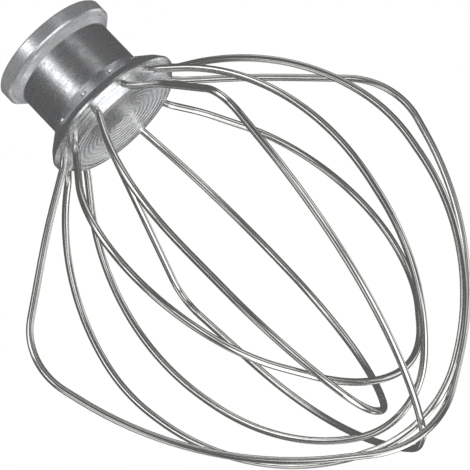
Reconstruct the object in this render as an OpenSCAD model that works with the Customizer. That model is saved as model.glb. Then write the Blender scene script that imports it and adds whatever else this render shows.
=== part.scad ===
// Wire whip for a kitchen stand mixer.
// A turned aluminium hub with a blind bayonet socket holds six bent steel wires, whose
// twelve ends sit in a ring of sloping holes round the hub's lower rim.
// Sizes are millimetres and degrees. The origin is the mouth of the drive socket, +Z points
// up into the mixer, and the whip hangs down along -Z. A level is a depth below the hub's underside.

/* [Hub outline] */
// Length of the hub from its top face to its underside
hub_length = 26; // [24:0.1:32]
// Diameter of the collar at the top
collar_d = 30.7; // [30:0.1:34]
// Height of the collar's plain band
collar_band = 3.7; // [2:0.1:5]
// Height of the small step under the collar
step_height = 0.8; // [0.4:0.1:1.4]
// Height of the cone between the step and the neck
step_cone = 1; // [0.6:0.1:1.6]
// Diameter of the small step under the collar
step_d = 28.2; // [26.6:0.1:28.3]
// Diameter of the neck
neck_d = 25.5; // [22:0.1:26]
// Edge break on the collar's top and lower edges
collar_chamfer = 0.4; // [0.2:0.1:0.8]

/* [Hub rim] */
// Diameter of the rim, the widest part of the hub
rim_d = 36.5; // [35:0.1:40]
// Height above the underside at which the neck starts to flare
flare_start = 9; // [8.6:0.1:12]
// Height above the underside of the flare's upper shoulder
shoulder_height = 5.1; // [4.8:0.1:6]
// Diameter of the flare at its upper shoulder
shoulder_d = 34.2; // [32:0.1:34.4]
// Height above the underside of the rim's crest
crest_height = 2.9; // [2.4:0.1:3.3]
// Height of the plain edge at the rim's crest
crest_band = 0.6; // [0.4:0.1:1.4]
// Diameter of the underside, inside the sloping band
underside_d = 31; // [29.6:0.1:32]
// Diameter of the turned dish in the underside
dish_d = 26; // [20:0.5:28]
// Depth of the turned dish in the underside
dish_depth = 0.5; // [0.2:0.1:1]

/* [Drive socket] */
// Diameter of the bore that fits over the mixer's drive shaft
socket_d = 13; // [12:0.1:14]
// Depth of the bore from the hub's top face
socket_depth = 18; // [16:0.1:19]
// Width of the keyway that the shaft's cross pin slides down
keyway_width = 4.6; // [3.5:0.1:5]
// Reach of the keyway from the socket's axis
keyway_reach = 9.4; // [8.4:0.1:10]
// Depth of the keyway from the hub's top face
keyway_depth = 13; // [11:0.1:14]
// Height of the pocket that the pin turns into
pocket_height = 4.8; // [4:0.1:6]
// Reach of the pocket from the socket's axis
pocket_reach = 8.2; // [7.5:0.1:8.4]
// Angle that the pin turns through in its pocket
pocket_turn = 30; // [20:1:32]
// Direction of the keyway round the axis
keyway_angle = 90; // [0:5:180]

/* [Wire ends] */
// Diameter of the wire
wire_d = 1.7; // [1.5:0.05:1.8]
// Radial gap between a wire end and its hole
seat_gap = 0.03; // [0.02:0.01:0.06]
// Depth of a wire end inside its hole
seat_depth = 6; // [5:0.1:6.4]
// Gap between a wire's end face and the bottom of its hole
seat_end_gap = 0.2; // [0.1:0.05:0.4]
// Slope of the holes, measured from the hub's axis
hole_slope = 45; // [40:1:50]
// Radius from the hub's axis at which the wires come out
exit_radius = 16.8; // [16.6:0.05:17]
// Height above the underside at which the wires come out
exit_height = 1.45; // [1.35:0.05:1.6]
// Straight length of wire outside its hole, before the first bend
lead_length = 2.6; // [2.2:0.1:3.2]
// Radius of the first bend outside the hole
lead_bend = 4.5; // [4:0.1:5]
// Radius of the round-nosed punch that stakes each wire in its hole
stake_radius = 1.25; // [0.9:0.05:1.5]
// Depth of the punch marks in the flare
stake_depth = 0.5; // [0.2:0.05:0.7]
// Height of the punch marks above the underside
stake_height = 6.6; // [6.2:0.1:7.4]

/* [Wire 1, the shallowest] */
// Distances of its corners from the axis, from the hub to the crown
wire_1_radii = [27.6, 58, 44.1, 14.9]; // [1:0.1:62]
// Levels of its corners
wire_1_levels = [4.5, 30.5, 67.3, 87.2]; // [2:0.1:120]
// Bend radii at its corners
wire_1_bends = [21.5, 39.5, 42.5, 54.5]; // [2:0.5:260]
// Turn of its two sides round the axis, away from their holes
wire_1_turns = [2.9, 13.1]; // [-20:0.1:20]
// Shift of its crown off the axis, along X and Y
wire_1_lean = [3.2, 3.8]; // [-9:0.1:9]

/* [Wire 2] */
// Distances of its corners from the axis, from the hub to the crown
wire_2_radii = [33.3, 33.8, 32, 7.9]; // [1:0.1:62]
// Levels of its corners
wire_2_levels = [18.2, 41.3, 73.2, 92.2]; // [2:0.1:120]
// Bend radii at its corners
wire_2_bends = [55, 60, 56, 20]; // [2:0.5:260]
// Turn of its two sides round the axis, away from their holes
wire_2_turns = [-0.1, -8.7]; // [-20:0.1:20]
// Shift of its crown off the axis, along X and Y
wire_2_lean = [-2.2, -6]; // [-9:0.1:9]

/* [Wire 3] */
// Distances of its corners from the axis, from the hub to the crown
wire_3_radii = [43.1, 37.9, 31.7, 7.8]; // [1:0.1:62]
// Levels of its corners
wire_3_levels = [24.1, 54.8, 79.6, 95.3]; // [2:0.1:120]
// Bend radii at its corners
wire_3_bends = [57, 66, 54.5, 26]; // [2:0.5:260]
// Turn of its two sides round the axis, away from their holes
wire_3_turns = [2.5, 3.7]; // [-20:0.1:20]
// Shift of its crown off the axis, along X and Y
wire_3_lean = [1.3, 0.1]; // [-9:0.1:9]

/* [Wire 4] */
// Distances of its corners from the axis, from the hub to the crown
wire_4_radii = [39.6, 46.6, 39.8, 7.6]; // [1:0.1:62]
// Levels of its corners
wire_4_levels = [11.9, 43.1, 81.8, 99.3]; // [2:0.1:120]
// Bend radii at its corners
wire_4_bends = [52, 42, 58.5, 41]; // [2:0.5:260]
// Turn of its two sides round the axis, away from their holes
wire_4_turns = [6.1, -13.6]; // [-20:0.1:20]
// Shift of its crown off the axis, along X and Y
wire_4_lean = [2.6, 0.9]; // [-9:0.1:9]

/* [Wire 5, the deepest] */
// Distances of its corners from the axis, from the hub to the crown
wire_5_radii = [32.3, 58.3, 45.2, 7]; // [1:0.1:62]
// Levels of its corners
wire_5_levels = [10.4, 32.1, 77.2, 102.6]; // [2:0.1:120]
// Bend radii at its corners
wire_5_bends = [216, 17.5, 85.5, 23.5]; // [2:0.5:260]
// Turn of its two sides round the axis, away from their holes
wire_5_turns = [-0.7, 0.3]; // [-20:0.1:20]
// Shift of its crown off the axis, along X and Y
wire_5_lean = [1, -1.9]; // [-9:0.1:9]

/* [Wire 6, with square shoulders] */
// Distances of its corners from the axis, from the hub to the crown
wire_6_radii = [34.1, 56.4, 43.9, 4.8]; // [1:0.1:62]
// Levels of its corners
wire_6_levels = [9.7, 26.8, 83.7, 101.9]; // [2:0.1:120]
// Bend radii at its corners
wire_6_bends = [42.5, 10, 84, 13]; // [2:0.5:260]
// Turn of its two sides round the axis, away from their holes
wire_6_turns = [-2.7, -1.7]; // [-20:0.1:20]
// Shift of its crown off the axis, along X and Y
wire_6_lean = [-1.9, 6.7]; // [-9:0.1:9]

/* [Hidden] */
$fn = 48;

cut = 1;
hole_outside = 2.5;
half_turn = 180;
run_rest = 0.15;
lap = 0.1;
lap_step = 0.01;
wires = 6;
hole_step = half_turn / wires;
neck_r = neck_d / 2;
underside = -hub_length;
hub_colour = [0.62, 0.62, 0.64];
wire_colour = [0.70, 0.70, 0.69];

// Directions of each wire's first hole; its second hole is opposite.
wire_1_hole = 2 * hole_step;
wire_2_hole = 3 * hole_step;
wire_3_hole = 5 * hole_step;
wire_4_hole = 0;
wire_5_hole = hole_step;
wire_6_hole = 4 * hole_step;

// Small vector helpers.
function unit(v) = v / norm(v);
function around(angle, r, z) = [r * cos(angle), r * sin(angle), z];

// Points on the sloping line of a hole, s along it from the point where the wire comes out.
function hole_r(s) = exit_radius + s * sin(hole_slope);
function hole_z(s) = underside + exit_height - s * cos(hole_slope);

// Corners of one side of a wire, from its seat in the hub to its crown.
function side(hole, turn, radii, levels, lean) = [
    around(hole, hole_r(-seat_depth), hole_z(-seat_depth)),
    around(hole, hole_r(lead_length), hole_z(lead_length)),
    for (i = [0 : 2]) around(hole + turn, radii[i], underside - levels[i]),
    around(hole + turn, radii[3], underside - levels[3]) + [lean[0], lean[1], 0]
];

// Turning angle at corner b, and the length of straight wire that a bend there takes up.
function turning(a, b, c) = acos(max(-1, min(1, unit(b - a) * unit(c - b))));
function take_up(p, i, bend) = bend * tan(turning(p[i - 1], p[i], p[i + 1]) / 2);

// Lengths taken up by the bends of one side, each cut back to what its straight runs leave.
function take_ups(p, bends, crown) =
    let (lead = take_up(p, 1, lead_bend))
    let (t4 = min(bends[3] * tan(turning(p[4], p[5], p[5] + crown) / 2), norm(crown) / 2 - run_rest))
    let (t3 = min(take_up(p, 4, bends[2]), norm(p[5] - p[4]) - t4 - run_rest))
    let (t2 = min(take_up(p, 3, bends[1]), norm(p[4] - p[3]) - t3 - run_rest))
    let (t1 = min(take_up(p, 2, bends[0]), norm(p[3] - p[2]) - t2 - run_rest,
                  norm(p[2] - p[1]) - lead - run_rest))
    [0, lead, t1, t2, t3, t4];

// A list in reverse order.
function reversed(p) = [for (i = [len(p) - 1 : -1 : 0]) p[i]];

// Straight round wire from a to b, which laps over the bends at its ends.
module run(a, b, lap_a, lap_b) {
    ahead = unit(b - a);
    translate(a - ahead * lap_a)
        rotate([0, acos(ahead[2]), atan2(ahead[1], ahead[0])])
            cylinder(h = norm(b - a) + lap_a + lap_b, r = wire_d / 2 + lap_step);
}

// Bend at corner b between a and c that takes up length t of each straight.
module bend(a, b, c, t) {
    swing = turning(a, b, c);
    radius = t / tan(swing / 2);
    back = unit(a - b);
    centre = b + unit(back + unit(c - b)) * norm([radius, t]);
    x = unit(b + back * t - centre);
    y = -back;
    z = cross(x, y);
    multmatrix([
        [x[0], y[0], z[0], centre[0]],
        [x[1], y[1], z[1], centre[1]],
        [x[2], y[2], z[2], centre[2]]
    ])
        rotate_extrude(angle = swing)
            translate([radius, 0])
                circle(d = wire_d);
}

// A wire through the corners p, with a bend at each that takes up t.
module bent_wire(p, t) {
    last = len(p) - 1;
    for (i = [0 : last - 1]) {
        ahead = unit(p[i + 1] - p[i]);
        run(p[i] + ahead * t[i], p[i + 1] - ahead * t[i + 1],
            i == 0 ? 0 : lap, i == last - 1 ? 0 : lap);
    }
    for (i = [1 : last - 1])
        bend(p[i - 1], p[i], p[i + 1], t[i]);
}

// One whole wire, from its first hole over its crown to the hole opposite.
module wire_loop(hole, turns, radii, levels, bends, lean) {
    near = side(hole, turns[0], radii, levels, lean);
    far = side(hole + half_turn, turns[1], radii, levels, lean);
    near_t = take_ups(near, bends, far[5] - near[5]);
    far_t = take_ups(far, bends, near[5] - far[5]);
    color(wire_colour)
        bent_wire(concat(near, reversed(far)), concat(near_t, reversed(far_t)));
}

// Turned outline of the hub, as radius and height.
module hub_outline() {
    polygon([
        [0, underside + dish_depth],
        [dish_d / 2, underside],
        [underside_d / 2, underside],
        [rim_d / 2, underside + crest_height],
        [rim_d / 2, underside + crest_height + crest_band],
        [shoulder_d / 2, underside + shoulder_height],
        [neck_r, underside + flare_start],
        [neck_r, -collar_band - step_height - step_cone],
        [step_d / 2, -collar_band - step_height],
        [step_d / 2, -collar_band],
        [collar_d / 2 - collar_chamfer, -collar_band],
        [collar_d / 2, -collar_band + collar_chamfer],
        [collar_d / 2, -collar_chamfer],
        [collar_d / 2 - collar_chamfer, 0],
        [0, 0]
    ]);
}

// Blind bore with its bayonet keyway.
module drive_socket() {
    translate([0, 0, -socket_depth])
        cylinder(h = socket_depth + cut, d = socket_d);
    rotate(keyway_angle)
        translate([0, -keyway_width / 2, -keyway_depth])
            cube([keyway_reach, keyway_width, keyway_depth + cut]);
    translate([0, 0, -keyway_depth])
        rotate([0, 0, keyway_angle])
            rotate_extrude(angle = pocket_turn)
                square([pocket_reach, pocket_height]);
}

// Sloping blind hole for one wire end.
module wire_hole(angle) {
    reach = seat_depth + seat_end_gap;
    translate(around(angle, hole_r(-reach), hole_z(-reach)))
        rotate([0, half_turn - hole_slope, angle])
            cylinder(h = reach + hole_outside, d = wire_d + 2 * seat_gap);
}

// Punch mark on the flare above one wire end.
module stake_mark(angle) {
    flare_drop = flare_start - shoulder_height;
    flare_spread = shoulder_d / 2 - neck_r;
    flare_r = neck_r + flare_spread * (flare_start - stake_height) / flare_drop;
    outward = unit([flare_drop, flare_spread]) * (stake_radius - stake_depth);
    translate(around(angle, flare_r + outward[0], underside + stake_height + outward[1]))
        sphere(r = stake_radius);
}

module hub() {
    color(hub_colour)
        difference() {
            rotate_extrude()
                hub_outline();
            drive_socket();
            for (i = [0 : 2 * wires - 1]) {
                wire_hole(i * hole_step);
                stake_mark(i * hole_step);
            }
        }
}

module wire_1() {
    wire_loop(wire_1_hole, wire_1_turns, wire_1_radii, wire_1_levels, wire_1_bends, wire_1_lean);
}

module wire_2() {
    wire_loop(wire_2_hole, wire_2_turns, wire_2_radii, wire_2_levels, wire_2_bends, wire_2_lean);
}

module wire_3() {
    wire_loop(wire_3_hole, wire_3_turns, wire_3_radii, wire_3_levels, wire_3_bends, wire_3_lean);
}

module wire_4() {
    wire_loop(wire_4_hole, wire_4_turns, wire_4_radii, wire_4_levels, wire_4_bends, wire_4_lean);
}

module wire_5() {
    wire_loop(wire_5_hole, wire_5_turns, wire_5_radii, wire_5_levels, wire_5_bends, wire_5_lean);
}

module wire_6() {
    wire_loop(wire_6_hole, wire_6_turns, wire_6_radii, wire_6_levels, wire_6_bends, wire_6_lean);
}

hub();
wire_1();
wire_2();
wire_3();
wire_4();
wire_5();
wire_6();
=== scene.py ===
"""Looks of the stand mixer wire whip: a turned aluminium hub and six bent steel wires.

Metres, in the frame of the CAD model: the origin is the mouth of the drive socket, +Z points up into
the mixer, and the wires hang along -Z. Inside the materials, places, heights and radii are
millimetres, and the depths of bumps are metres.
"""

import math

import bpy
from mathutils import Matrix, Vector

WIRES = ["wire_1", "wire_2", "wire_3", "wire_4", "wire_5", "wire_6"]

# Camera, found by fitting it to the hub's circles and the wires in the photograph.
CAMERA_PLACE = (0.09448, -0.74567, -0.2666)
CAMERA_FORWARD = (-0.1202, 0.9582, 0.2598)
CAMERA_UP = (0.7103, -0.0999, 0.6969)
CAMERA_LENS = 258.8
SENSOR_WIDTH = 36.0
CAMERA_CLIP = (0.01, 50.0)

MM_PER_METRE = 1000
# The value that a noise keeps to on average.
NOISE_MIDDLE = 0.5
# Limits that the sum of two noises mostly keeps to, where it sets a roughness.
NOISE_SUM_LIMITS = (0.7, 1.3)

# Edges between the zones of the hub's finish, in millimetres. Heights count from the top face at 0, and
# the underside's zone also ends at a radius. A blend is the width on each side over which zones change.
COLLAR_EDGE = -3.7
STEP_EDGE = -5.5
RIM_CREST = -23.1
UNDERSIDE_EDGE = -25.35
UNDERSIDE_RADIUS = 15.5
SHARP_BLEND = 0.05
SOFT_BLEND = 0.1

# Noises in the aluminium: scale per millimetre, detail and roughness.
WOBBLE = (0.35, 1, 0.5)
FINE_RINGS = (3.4, 3, 0.65)
BROAD_RINGS = (0.9, 1, 0.5)
DENTS = (1.3, 1, 0.5)
BURNISH = (0.45, 3, 0.6)
SPARKLE = (1.9, 3, 0.7)
SCRATCHES = (0.9, 2, 0.5)
# How many times flatter along the axis than round it their blotches are.
DENT_SQUEEZE = 1.5
BURNISH_SQUEEZE = 1.6
SPARKLE_SQUEEZE = 2.0
SCRATCH_SQUEEZE = 14

# The rings: how much a millimetre of height counts against one of radius, and how far they wobble.
RING_RISE = 0.41
WOBBLE_REACH = 0.5
# Turning marks on the hub's underside.
TOOL_MARKS_PER_MM = 0.75

# Colours of the aluminium, how strongly each pattern shows in them, and what shows more on the slope.
DULL_ALUMINIUM = (0.62, 0.645, 0.70, 1)
BRIGHT_ALUMINIUM = (0.95, 0.95, 0.935, 1)
SCRATCH_COLOUR = (0.95, 0.95, 0.95, 1)
RING_TONE = 0.6
RING_TONE_MORE_ON_SLOPE = 1.3
TOOL_MARK_TONE = 0.22
SPARKLE_TONE = 0.7
ALUMINIUM_TONE_LIMITS = (0.15, 0.85)
SCRATCH_LIMITS = (0.60, 0.72)
SCRATCH_STRENGTH = 0.35

# Gloss of the aluminium. Roughness runs from the first value at low noise to the second at high noise.
ALUMINIUM_ROUGHNESS = (0.34, 0.18)
COLLAR_ROUGHNESS_CHANGE = -0.03
COLLAR_MATT = 0.22
STEP_MATT = 0.65
ALUMINIUM_ANISOTROPY = 0.60

# Depths of the bumps, in metres.
BROAD_RING_DEPTH = 4e-6
BROAD_RING_DEPTH_MORE_ON_SLOPE = 5e-5
FINE_RING_DEPTH = 2e-6
FINE_RING_DEPTH_MORE_ON_SLOPE = 1.5e-5
TOOL_MARK_DEPTH = 1.3e-5
DENT_DEPTH = 2e-5
GRAIN_DEPTH = 2e-6

# Noises in the steel: scale per millimetre, detail and roughness.
SMEARS = (0.16, 3, 0.6)
GRAIN = (3.2, 2, 0.6)
DRAWING_MARKS = (0.9, 4, 0.7)

# Colours and gloss of the steel.
DULL_STEEL = (0.74, 0.74, 0.71, 1)
BRIGHT_STEEL = (0.94, 0.94, 0.91, 1)
DRAWING_MARK_COLOUR = (0.50, 0.49, 0.46, 1)
GRAIN_TONE = 0.5
STEEL_TONE_LIMITS = (0.3, 0.7)
DRAWING_MARK_LIMITS = (0.56, 0.70)
DRAWING_MARK_STRENGTH = 0.35
STEEL_ROUGHNESS = (0.22, 0.12)

# The floor: its height and half its width.
FLOOR_HEIGHT = -0.30
FLOOR_HALF = 6.0
FLOOR_COLOUR = (0.86, 0.86, 0.86)
# Light that only the camera sees on the floor, within the near distance and past the far one.
FLOOR_WHITENING = 0.34
FLOOR_FAR_WHITENING = 0.50
FLOOR_NEAR = 0.4
FLOOR_FAR = 2.0

# Soft panels of the studio, as the metal sees them: direction from the object, half angle of the
# even part, half angle where it has faded out, and how bright it is, where 1 is white.
PANELS = [
    ((-0.35, -0.90, 0.26), 7, 14, 1.70),
    ((0.77, -0.58, 0.26), 3, 16, 0.32),
    ((-0.38, -0.91, -0.15), 6, 15, 0.80),
    ((0.18, -0.15, -0.97), 17, 30, 1.40),
    ((-0.25, 0.25, -0.93), 16, 28, 1.30),
    ((-0.88, -0.36, -0.30), 8, 24, 0.80),
    ((-0.14, 0.84, -0.52), 3, 11, 1.25),
    ((-0.05, -0.68, 0.73), 12, 22, 1.45),
    ((0.30, -0.78, -0.55), 10, 20, 1.10),
    ((0.62, 0.70, -0.35), 8, 22, 0.80),
    ((-0.80, 0.50, -0.35), 6, 18, 0.50),
    ((0.95, 0.10, -0.25), 8, 20, 0.90),
    ((0.75, 0.05, 0.66), 8, 20, 0.70),
    ((-0.50, -0.45, 0.74), 6, 15, 0.80),
]
# The room between the panels, as the metal sees it, and the even light on everything that isn't a mirror.
ROOM_LEVEL = 0.115
SOFT_LIGHT_LEVEL = 0.60

# One lamp, round: its place and diameter in metres, and its power in watts.
LAMP_PLACE = (-0.7, -0.5, 1.1)
LAMP_SIZE = 0.7
LAMP_POWER = 9.0


def unit(v):
    """The vector v at length 1."""
    return Vector(v).normalized()


class Graph:
    """Short ways to add shader nodes to one node tree."""

    def __init__(self, tree):
        self.tree = tree
        tree.nodes.clear()

    def node(self, kind, **settings):
        """A new node of that kind. Settings are its properties."""
        made = self.tree.nodes.new(kind)
        for name, value in settings.items():
            setattr(made, name, value)
        return made

    def feed(self, socket, value):
        """Links value to the socket if it is a socket, and sets it there otherwise."""
        if isinstance(value, bpy.types.NodeSocket):
            self.tree.links.new(value, socket)
        elif value is not None:
            socket.default_value = value

    def math(self, operation, a, b=None, c=None):
        """A Math node on up to three numbers or sockets."""
        made = self.node("ShaderNodeMath", operation=operation)
        for socket, value in zip(made.inputs, (a, b, c)):
            self.feed(socket, value)
        return made.outputs[0]

    def vector(self, operation, a, b=None):
        """A Vector Math node. It gives a vector, or a number where the operation makes one."""
        made = self.node("ShaderNodeVectorMath", operation=operation)
        self.feed(made.inputs[0], a)
        if b is not None:
            self.feed(made.inputs[1], b)
        is_number = operation in ("DOT_PRODUCT", "LENGTH")
        return made.outputs["Value" if is_number else "Vector"]

    def scale(self, a, factors):
        """The vector a, multiplied by one factor for each axis."""
        return self.vector("MULTIPLY", a, factors)

    def spread(self, value, low, high, to_low=0.0, to_high=1.0, smooth=False):
        """Value mapped from low..high to to_low..to_high, clamped."""
        made = self.node("ShaderNodeMapRange", clamp=True)
        made.interpolation_type = "SMOOTHSTEP" if smooth else "LINEAR"
        for name, number in (
            ("Value", value),
            ("From Min", low),
            ("From Max", high),
            ("To Min", to_low),
            ("To Max", to_high),
        ):
            self.feed(made.inputs[name], number)
        return made.outputs["Result"]

    def above(self, value, edge, blend):
        """1 where value is over the edge and 0 where it is under, blended that far on both sides."""
        return self.spread(value, edge - blend, edge + blend)

    def below(self, value, edge, blend):
        """1 where value is under the edge and 0 where it is over, blended that far on both sides."""
        return self.spread(value, edge + blend, edge - blend)

    def noise(self, place, scale, detail, rough, on_line=False):
        """Noise in three dimensions or, where place is one number, on a line."""
        made = self.node("ShaderNodeTexNoise", noise_dimensions="1D" if on_line else "3D")
        self.feed(made.inputs["W" if on_line else "Vector"], place)
        self.feed(made.inputs["Scale"], scale)
        self.feed(made.inputs["Detail"], detail)
        self.feed(made.inputs["Roughness"], rough)
        return made.outputs["Fac"]

    def blotches(self, place, squeeze, noise):
        """Noise in three dimensions, squeezed along the axis by that factor."""
        return self.noise(self.scale(place, (1, 1, squeeze)), *noise)

    def centred(self, noise):
        """The noise, moved so that its middle is 0."""
        return self.math("SUBTRACT", noise, NOISE_MIDDLE)

    def place_in_mm(self):
        """The shaded point, in millimetres of the object's own frame."""
        place = self.node("ShaderNodeTexCoord").outputs["Object"]
        return self.scale(place, (MM_PER_METRE, MM_PER_METRE, MM_PER_METRE))

    def blend(self, factor, a, b):
        """Colour a at factor 0 and b at factor 1."""
        made = self.node("ShaderNodeMix", data_type="RGBA")
        self.feed(made.inputs["Factor"], factor)
        self.feed(made.inputs["A"], a)
        self.feed(made.inputs["B"], b)
        return made.outputs["Result"]

    def bump(self, height, depth, normal=None):
        """A normal that follows height, which is depth metres high."""
        made = self.node("ShaderNodeBump")
        self.feed(made.inputs["Height"], height)
        self.feed(made.inputs["Distance"], depth)
        self.feed(made.inputs["Normal"], normal)
        return made.outputs["Normal"]


def new_material(name):
    """A material with an empty node tree, and the graph to fill it."""
    made = bpy.data.materials.new(name)
    made.use_nodes = True
    return made, Graph(made.node_tree)


def metal(graph, colour, roughness, normal, metallic=1.0, anisotropy=0.0, tangent=None):
    """Ends the graph in a metal surface. Where it is less metallic it looks matt."""
    surface = graph.node("ShaderNodeBsdfPrincipled")
    surface.inputs["Anisotropic"].default_value = anisotropy
    graph.feed(surface.inputs["Metallic"], metallic)
    graph.feed(surface.inputs["Base Color"], colour)
    graph.feed(surface.inputs["Roughness"], roughness)
    graph.feed(surface.inputs["Normal"], normal)
    graph.feed(surface.inputs["Tangent"], tangent)
    out = graph.node("ShaderNodeOutputMaterial")
    graph.feed(out.inputs["Surface"], surface.outputs[0])


def turned_aluminium():
    """Aluminium straight from the lathe: rings round the axis, burnished patches and fine scratches."""
    made, g = new_material("turned_aluminium")
    in_mm = g.place_in_mm()
    parts = g.node("ShaderNodeSeparateXYZ")
    g.feed(parts.inputs[0], in_mm)
    height = parts.outputs["Z"]
    radius = g.vector("LENGTH", g.scale(in_mm, (1, 1, 0)))

    # The collar, the matt step under it, the underside, and the sloping band round the wire holes.
    collar = g.above(height, COLLAR_EDGE, SHARP_BLEND)
    step = g.math("SUBTRACT", g.above(height, STEP_EDGE, SHARP_BLEND), collar)
    low = g.below(height, UNDERSIDE_EDGE, SHARP_BLEND)
    underside = g.math("MULTIPLY", low, g.below(radius, UNDERSIDE_RADIUS, SOFT_BLEND))
    under_crest = g.below(height, RIM_CREST, SOFT_BLEND)
    slope = g.math("MULTIPLY", under_crest, g.math("SUBTRACT", 1, underside))

    # One number that changes along every turned face, whichever way it slopes.
    wobble = g.math("MULTIPLY", g.noise(in_mm, *WOBBLE), WOBBLE_REACH)
    along = g.math("ADD", g.math("MULTIPLY_ADD", height, RING_RISE, radius), wobble)
    fine_rings = g.noise(along, *FINE_RINGS, on_line=True)
    broad_rings = g.noise(along, *BROAD_RINGS, on_line=True)
    tool_marks = g.math("SINE", g.math("MULTIPLY", along, TOOL_MARKS_PER_MM * math.tau))
    dents = g.blotches(in_mm, DENT_SQUEEZE, DENTS)
    burnish = g.blotches(in_mm, BURNISH_SQUEEZE, BURNISH)
    sparkle = g.blotches(in_mm, SPARKLE_SQUEEZE, SPARKLE)
    scratches = g.spread(g.blotches(in_mm, SCRATCH_SQUEEZE, SCRATCHES), *SCRATCH_LIMITS)

    ring_tone = g.math("MULTIPLY_ADD", slope, RING_TONE_MORE_ON_SLOPE, RING_TONE)
    tone = g.math("MULTIPLY_ADD", g.centred(fine_rings), ring_tone, burnish)
    tone = g.math("MULTIPLY_ADD", g.math("MULTIPLY", tool_marks, underside), TOOL_MARK_TONE, tone)
    tone = g.math("MULTIPLY_ADD", g.centred(sparkle), SPARKLE_TONE, tone)
    tone = g.spread(tone, *ALUMINIUM_TONE_LIMITS)
    colour = g.blend(tone, DULL_ALUMINIUM, BRIGHT_ALUMINIUM)
    colour = g.blend(g.math("MULTIPLY", scratches, SCRATCH_STRENGTH), colour, SCRATCH_COLOUR)

    rough = g.spread(g.math("ADD", burnish, sparkle), *NOISE_SUM_LIMITS, *ALUMINIUM_ROUGHNESS)
    rough = g.math("MULTIPLY_ADD", collar, COLLAR_ROUGHNESS_CHANGE, rough)
    matt = g.math("MULTIPLY_ADD", collar, COLLAR_MATT, g.math("MULTIPLY", step, STEP_MATT))

    broad_depth = g.math("MULTIPLY_ADD", slope, BROAD_RING_DEPTH_MORE_ON_SLOPE, BROAD_RING_DEPTH)
    fine_depth = g.math("MULTIPLY_ADD", slope, FINE_RING_DEPTH_MORE_ON_SLOPE, FINE_RING_DEPTH)
    normal = g.bump(broad_rings, broad_depth)
    normal = g.bump(fine_rings, fine_depth, normal)
    normal = g.bump(tool_marks, g.math("MULTIPLY", underside, TOOL_MARK_DEPTH), normal)
    normal = g.bump(dents, DENT_DEPTH, normal)

    tangent = g.node("ShaderNodeTangent", direction_type="RADIAL", axis="Z").outputs[0]
    metal(g, colour, rough, normal, g.math("SUBTRACT", 1, matt), ALUMINIUM_ANISOTROPY, tangent)
    return made


def polished_steel():
    """Stainless wire, drawn and polished, with faint smears and drawing marks."""
    made, g = new_material("polished_steel")
    in_mm = g.place_in_mm()
    smears = g.noise(in_mm, *SMEARS)
    grain = g.noise(in_mm, *GRAIN)
    marks = g.spread(g.noise(in_mm, *DRAWING_MARKS), *DRAWING_MARK_LIMITS)

    tone = g.math("MULTIPLY_ADD", g.centred(grain), GRAIN_TONE, smears)
    tone = g.spread(tone, *STEEL_TONE_LIMITS)
    colour = g.blend(tone, DULL_STEEL, BRIGHT_STEEL)
    colour = g.blend(g.math("MULTIPLY", marks, DRAWING_MARK_STRENGTH), colour, DRAWING_MARK_COLOUR)
    rough = g.spread(g.math("ADD", smears, grain), *NOISE_SUM_LIMITS, *STEEL_ROUGHNESS)
    metal(g, colour, rough, g.bump(grain, GRAIN_DEPTH))
    return made


def pale_floor():
    """Plain pale floor that keeps the object's shadow, and looks near white to the camera."""
    made, g = new_material("pale_floor")
    surface = g.node("ShaderNodeBsdfDiffuse")
    surface.inputs["Color"].default_value = (*FLOOR_COLOUR, 1)
    seen = g.node("ShaderNodeLightPath").outputs["Is Camera Ray"]
    glow = g.node("ShaderNodeEmission")
    reach = g.vector("LENGTH", g.node("ShaderNodeTexCoord").outputs["Object"])
    level = g.spread(reach, FLOOR_NEAR, FLOOR_FAR, FLOOR_WHITENING, FLOOR_FAR_WHITENING, smooth=True)
    g.feed(glow.inputs["Strength"], g.math("MULTIPLY", seen, level))
    both = g.node("ShaderNodeAddShader")
    g.feed(both.inputs[0], surface.outputs[0])
    g.feed(both.inputs[1], glow.outputs[0])
    out = g.node("ShaderNodeOutputMaterial")
    g.feed(out.inputs["Surface"], both.outputs[0])
    return made


def add_floor():
    """A wide floor well under the whip, which hangs from its mount."""
    square = [(-1, -1), (1, -1), (1, 1), (-1, 1)]
    corners = [(x * FLOOR_HALF, y * FLOOR_HALF, FLOOR_HEIGHT) for x, y in square]
    mesh = bpy.data.meshes.new("floor")
    mesh.from_pydata(corners, [], [(0, 1, 2, 3)])
    floor = bpy.data.objects.new("floor", mesh)
    bpy.context.scene.collection.objects.link(floor)
    floor.data.materials.append(pale_floor())
    floor.visible_glossy = False


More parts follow.
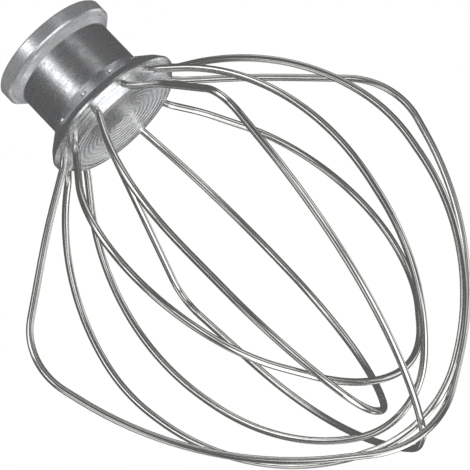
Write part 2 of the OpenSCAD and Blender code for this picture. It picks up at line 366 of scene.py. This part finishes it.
def add_studio():
    """A white background for the camera, and soft panels in a dim room for the metal."""
    world = bpy.data.worlds.new("studio")
    bpy.context.scene.world = world
    world.use_nodes = True
    g = Graph(world.node_tree)
    looking = g.node("ShaderNodeTexCoord").outputs["Generated"]
    level = ROOM_LEVEL
    for direction, even, faded, strength in PANELS:
        facing = g.vector("DOT_PRODUCT", looking, tuple(unit(direction)))
        panel = g.spread(
            facing,
            math.cos(math.radians(faded)),
            math.cos(math.radians(even)),
            0.0,
            strength,
            smooth=True,
        )
        level = g.math("ADD", panel, level)
    path = g.node("ShaderNodeLightPath")
    seen_by_metal = path.outputs["Is Glossy Ray"]
    soft = g.spread(seen_by_metal, 0, 1, SOFT_LIGHT_LEVEL, level)
    shown = g.spread(path.outputs["Is Camera Ray"], 0, 1, soft, 1.0)
    background = g.node("ShaderNodeBackground")
    background.inputs["Color"].default_value = (1, 1, 1, 1)
    g.feed(background.inputs["Strength"], shown)
    out = g.node("ShaderNodeOutputWorld")
    g.feed(out.inputs["Surface"], background.outputs[0])


def add_lamp():
    """One large soft lamp above, which lays the shadow on the floor."""
    data = bpy.data.lights.new("softbox", "AREA")
    data.shape = "DISK"
    data.size = LAMP_SIZE
    data.energy = LAMP_POWER
    lamp = bpy.data.objects.new("softbox", data)
    lamp.location = LAMP_PLACE
    lamp.rotation_mode = "QUATERNION"
    lamp.rotation_quaternion = (-Vector(LAMP_PLACE)).to_track_quat("-Z", "Y")
    lamp.visible_glossy = False
    bpy.context.scene.collection.objects.link(lamp)


def add_camera():
    """The camera at the photograph's place and angle."""
    data = bpy.data.cameras.new("photo_camera")
    data.lens = CAMERA_LENS
    data.sensor_width = SENSOR_WIDTH
    data.clip_start, data.clip_end = CAMERA_CLIP
    camera = bpy.data.objects.new("photo_camera", data)
    forward = unit(CAMERA_FORWARD)
    right = forward.cross(Vector(CAMERA_UP)).normalized()
    up = right.cross(forward)
    turn = Matrix((right, up, -forward)).transposed().to_4x4()
    camera.matrix_world = Matrix.Translation(CAMERA_PLACE) @ turn
    bpy.context.scene.collection.objects.link(camera)
    bpy.context.scene.camera = camera


def dress(node, material):
    """Gives a CAD node its finished material."""
    node.data.materials.clear()
    node.data.materials.append(material)


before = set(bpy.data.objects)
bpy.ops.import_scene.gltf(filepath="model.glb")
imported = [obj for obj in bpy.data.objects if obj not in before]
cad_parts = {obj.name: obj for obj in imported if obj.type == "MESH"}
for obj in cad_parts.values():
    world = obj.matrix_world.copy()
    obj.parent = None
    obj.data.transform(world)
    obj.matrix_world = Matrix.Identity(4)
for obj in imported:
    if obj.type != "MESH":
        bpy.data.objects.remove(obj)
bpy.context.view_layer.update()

dress(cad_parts["hub"], turned_aluminium())
steel = polished_steel()
for wire in WIRES:
    dress(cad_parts[wire], steel)

add_floor()
add_studio()
add_lamp()
add_camera()
bpy.context.scene.view_settings.view_transform = "Standard"
